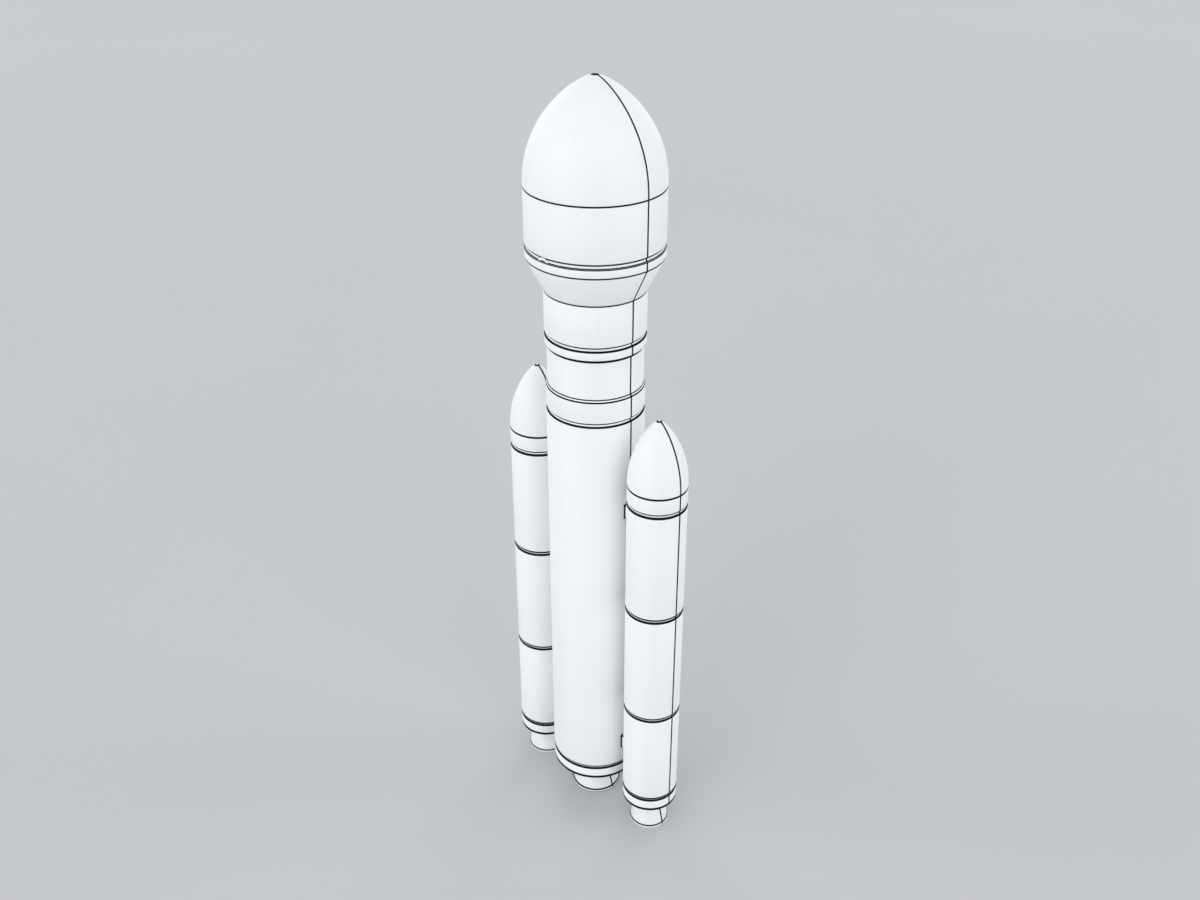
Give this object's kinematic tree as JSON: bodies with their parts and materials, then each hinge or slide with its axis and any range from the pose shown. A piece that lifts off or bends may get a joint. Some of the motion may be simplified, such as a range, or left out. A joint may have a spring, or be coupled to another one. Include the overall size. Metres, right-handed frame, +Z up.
{
  "type": "space rocket with two side boosters",
  "caption": "White launch vehicle with a tall core stage, two side boosters, a steerable core nozzle and a wide hollow fairing that opens in two halves.",
  "frame": {"origin": "on the floor below the core's axis, level with the booster nozzles' exit rims", "axes": "+Z up along the core's axis, +X towards one booster, +Y across the fairing's split"},
  "size_m": [9.468, 5.414, 33.81],
  "materials": {
    "tank_skin": "satin white paint on aluminium tanks and skirts",
    "booster_case": "satin white paint on steel cases",
    "shell_skin": "satin white paint on carbon fibre shells",
    "nozzle_shell": "matt white heat coating",
    "engine_metal": "bare steel",
    "bare_fitting": "bare satin metal"
  },
  "bodies": {
    "stack": {"core_base_shield": "bare_fitting", "core_base_band": "tank_skin", "core_barrel": "tank_skin", "core_forward_skirt": "tank_skin", "upper_stage": "tank_skin", "upper_stage_band": "tank_skin", "adapter_cylinder": "shell_skin", "boat_tail_cone": "shell_skin", "fairing_base_band": "shell_skin", "fairing_joint_ring": "shell_skin", "payload_adapter": "shell_skin", "payload_ring": "bare_fitting", "fairing_hinge_bracket_front": "bare_fitting", "fairing_hinge_bracket_rear": "bare_fitting", "gimbal_bracket": "engine_metal", "booster_right_nozzle": "nozzle_shell", "booster_right_base_band": "booster_case", "booster_right_aft_case": "booster_case", "booster_right_centre_case": "booster_case", "booster_right_forward_case": "booster_case", "booster_right_forward_band": "booster_case", "booster_right_nose": "shell_skin", "booster_right_forward_fitting": "booster_case", "booster_right_aft_fitting": "booster_case", "booster_left_nozzle": "nozzle_shell", "booster_left_base_band": "booster_case", "booster_left_aft_case": "booster_case", "booster_left_centre_case": "booster_case", "booster_left_forward_case": "booster_case", "booster_left_forward_band": "booster_case", "booster_left_nose": "shell_skin", "booster_left_forward_fitting": "booster_case", "booster_left_aft_fitting": "booster_case"},
    "fairing_front": {"fairing_front_half": "shell_skin", "fairing_hinge_leaf_front": "bare_fitting"},
    "fairing_rear": {"fairing_rear_half": "shell_skin", "fairing_hinge_leaf_rear": "bare_fitting"},
    "gimbal": {"gimbal_ring": "engine_metal"},
    "engine": {"core_engine": "engine_metal", "core_nozzle": "nozzle_shell"}
  },
  "joints": [
    {"name": "fairing_front_hinge", "type": "hinge", "parent": "stack", "child": "fairing_front", "pos_m": [0, -2.684, 27.545], "axis": [1, 0, 0], "range_deg": [0, 60]},
    {"name": "fairing_rear_hinge", "type": "hinge", "parent": "stack", "child": "fairing_rear", "pos_m": [0, 2.684, 27.545], "axis": [-1, 0, 0], "range_deg": [0, 60]},
    {"name": "gimbal_outer", "type": "hinge", "parent": "stack", "child": "gimbal", "pos_m": [0, 0, 3.15], "axis": [1, 0, 0], "range_deg": [-6, 6]},
    {"name": "gimbal_inner", "type": "hinge", "parent": "gimbal", "child": "engine", "pos_m": [0, 0, 3.15], "axis": [0, 1, 0], "range_deg": [-6, 6]}
  ]
}
